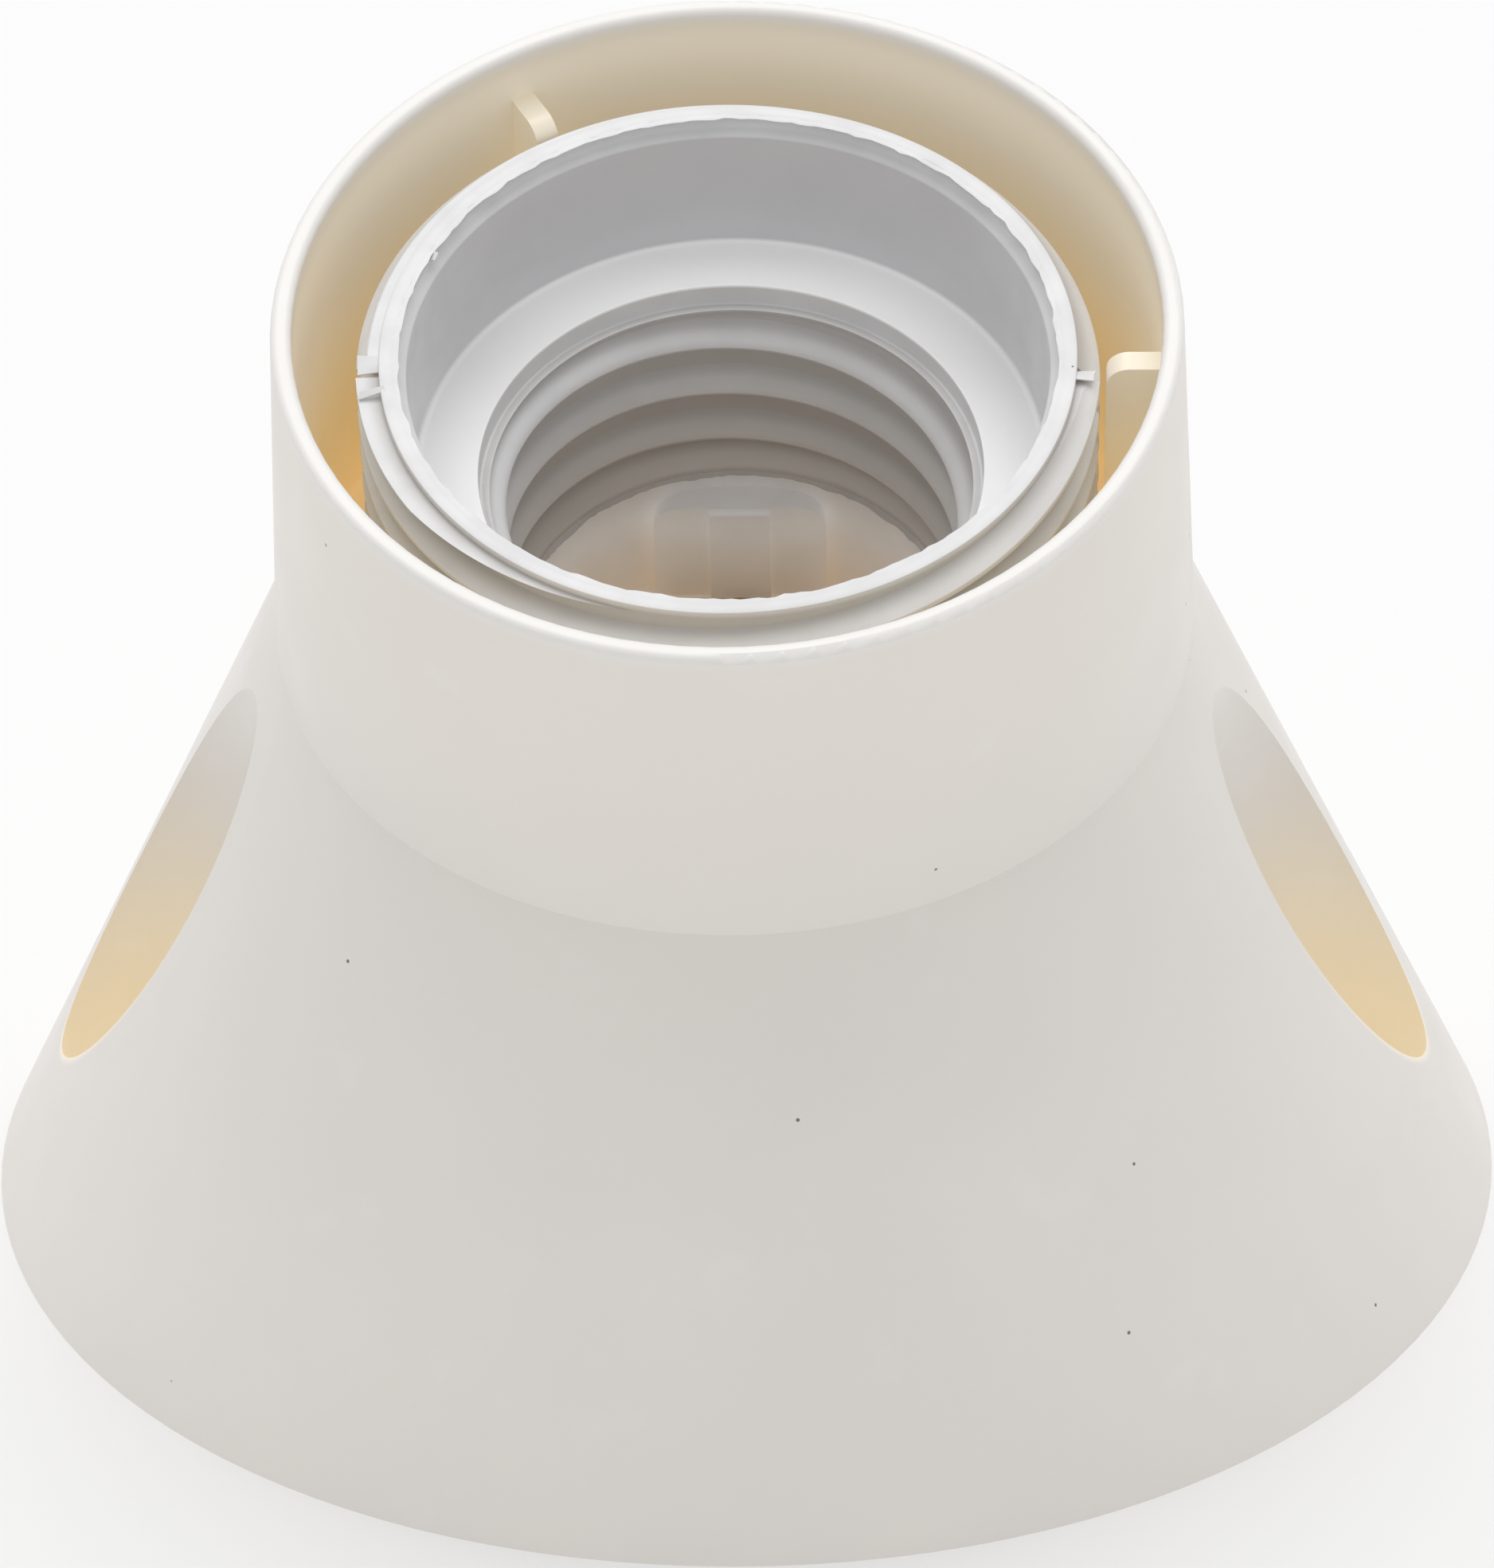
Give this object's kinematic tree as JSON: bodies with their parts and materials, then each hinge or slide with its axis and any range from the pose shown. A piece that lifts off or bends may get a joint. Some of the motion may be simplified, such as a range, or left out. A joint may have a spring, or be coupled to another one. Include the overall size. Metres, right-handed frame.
{
  "type": "lamp holder",
  "caption": "Slanted wall lamp holder: moulded cone foot with screw wells, round collar and a threaded socket insert with contacts and terminals inside.",
  "frame": {"origin": "centre of the round foot, on the wall face", "axes": "+Z out from the wall; +X along the line of the two wall screws; the socket leans 20 degrees towards -Y"},
  "size_m": [0.086, 0.086, 0.0698],
  "materials": {
    "housing_plastic": "satin cream thermoplastic, a little translucent",
    "sleeve_plastic": "satin white thermoplastic with mould flash",
    "carrier_plastic": "satin white thermoplastic",
    "contact_brass": "rolled spring brass, slightly tarnished",
    "terminal_brass": "machined",
    "plated_steel": "bright zinc plate"
  },
  "bodies": {
    "root": {"housing": "housing_plastic", "lamp_sleeve": "sleeve_plastic", "contact_carrier": "carrier_plastic", "centre_contact": "contact_brass", "side_contact": "contact_brass", "live_terminal": "terminal_brass", "neutral_terminal": "terminal_brass", "live_rivet": "contact_brass", "neutral_rivet": "contact_brass", "live_screw_left": "plated_steel", "live_screw_right": "plated_steel", "neutral_screw_left": "plated_steel", "neutral_screw_right": "plated_steel", "sleeve_screw_left": "plated_steel", "sleeve_screw_right": "plated_steel"}
  },
  "joints": []
}
